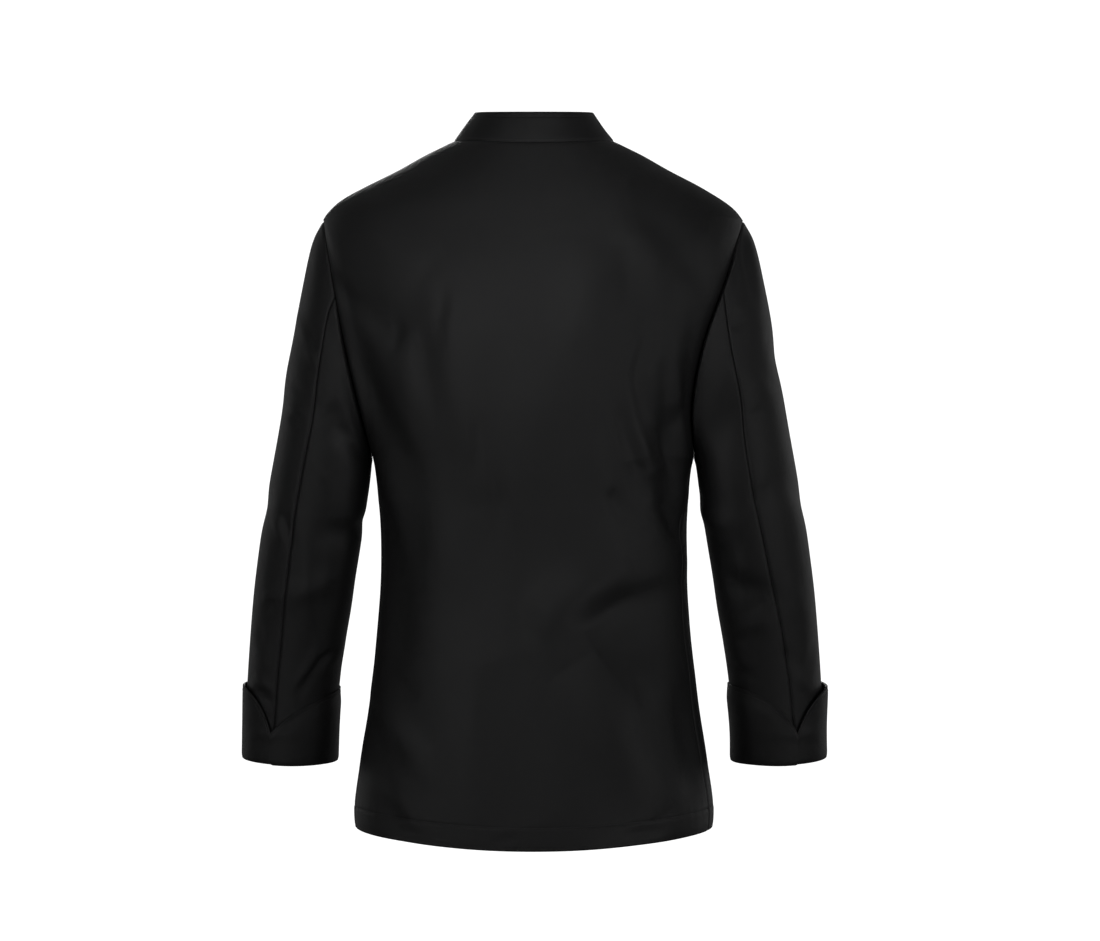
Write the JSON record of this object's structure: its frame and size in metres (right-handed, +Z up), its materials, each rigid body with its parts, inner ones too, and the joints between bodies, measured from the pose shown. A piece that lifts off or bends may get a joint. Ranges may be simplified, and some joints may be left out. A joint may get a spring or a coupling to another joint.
{
  "type": "chef jacket",
  "caption": "Black double-breasted chef jacket in its worn, hollow form, with a stand collar and turned-back cuffs notched at the back.",
  "frame": {"origin": "middle of the neck opening at the side neck points, where the wearer's neck and shoulders carry the jacket", "axes": "+Z up from hem to collar, front of the jacket towards -Y, back towards +Y, wearer's left towards +X"},
  "size_m": [0.6572, 0.2618, 0.7927],
  "materials": {
    "body_cloth": "matt black polyester-cotton twill",
    "sleeve_cloth": "matt black polyester-cotton twill",
    "collar_cloth": "matt black twill, doubled and fused",
    "cuff_cloth": "matt black twill, doubled",
    "button": "satin black, four holes, sewn on with black thread"
  },
  "bodies": {
    "root": {"back": "body_cloth", "front_left": "body_cloth", "front_right": "body_cloth", "collar": "collar_cloth", "sleeve_left_upper": "sleeve_cloth", "sleeve_left_under": "sleeve_cloth", "sleeve_right_upper": "sleeve_cloth", "sleeve_right_under": "sleeve_cloth", "cuff_left": "cuff_cloth", "cuff_right": "cuff_cloth", "button_1": "button", "button_2": "button", "button_3": "button", "button_4": "button", "button_5": "button", "button_6": "button", "button_7": "button", "button_8": "button", "button_9": "button", "button_10": "button"}
  },
  "joints": []
}
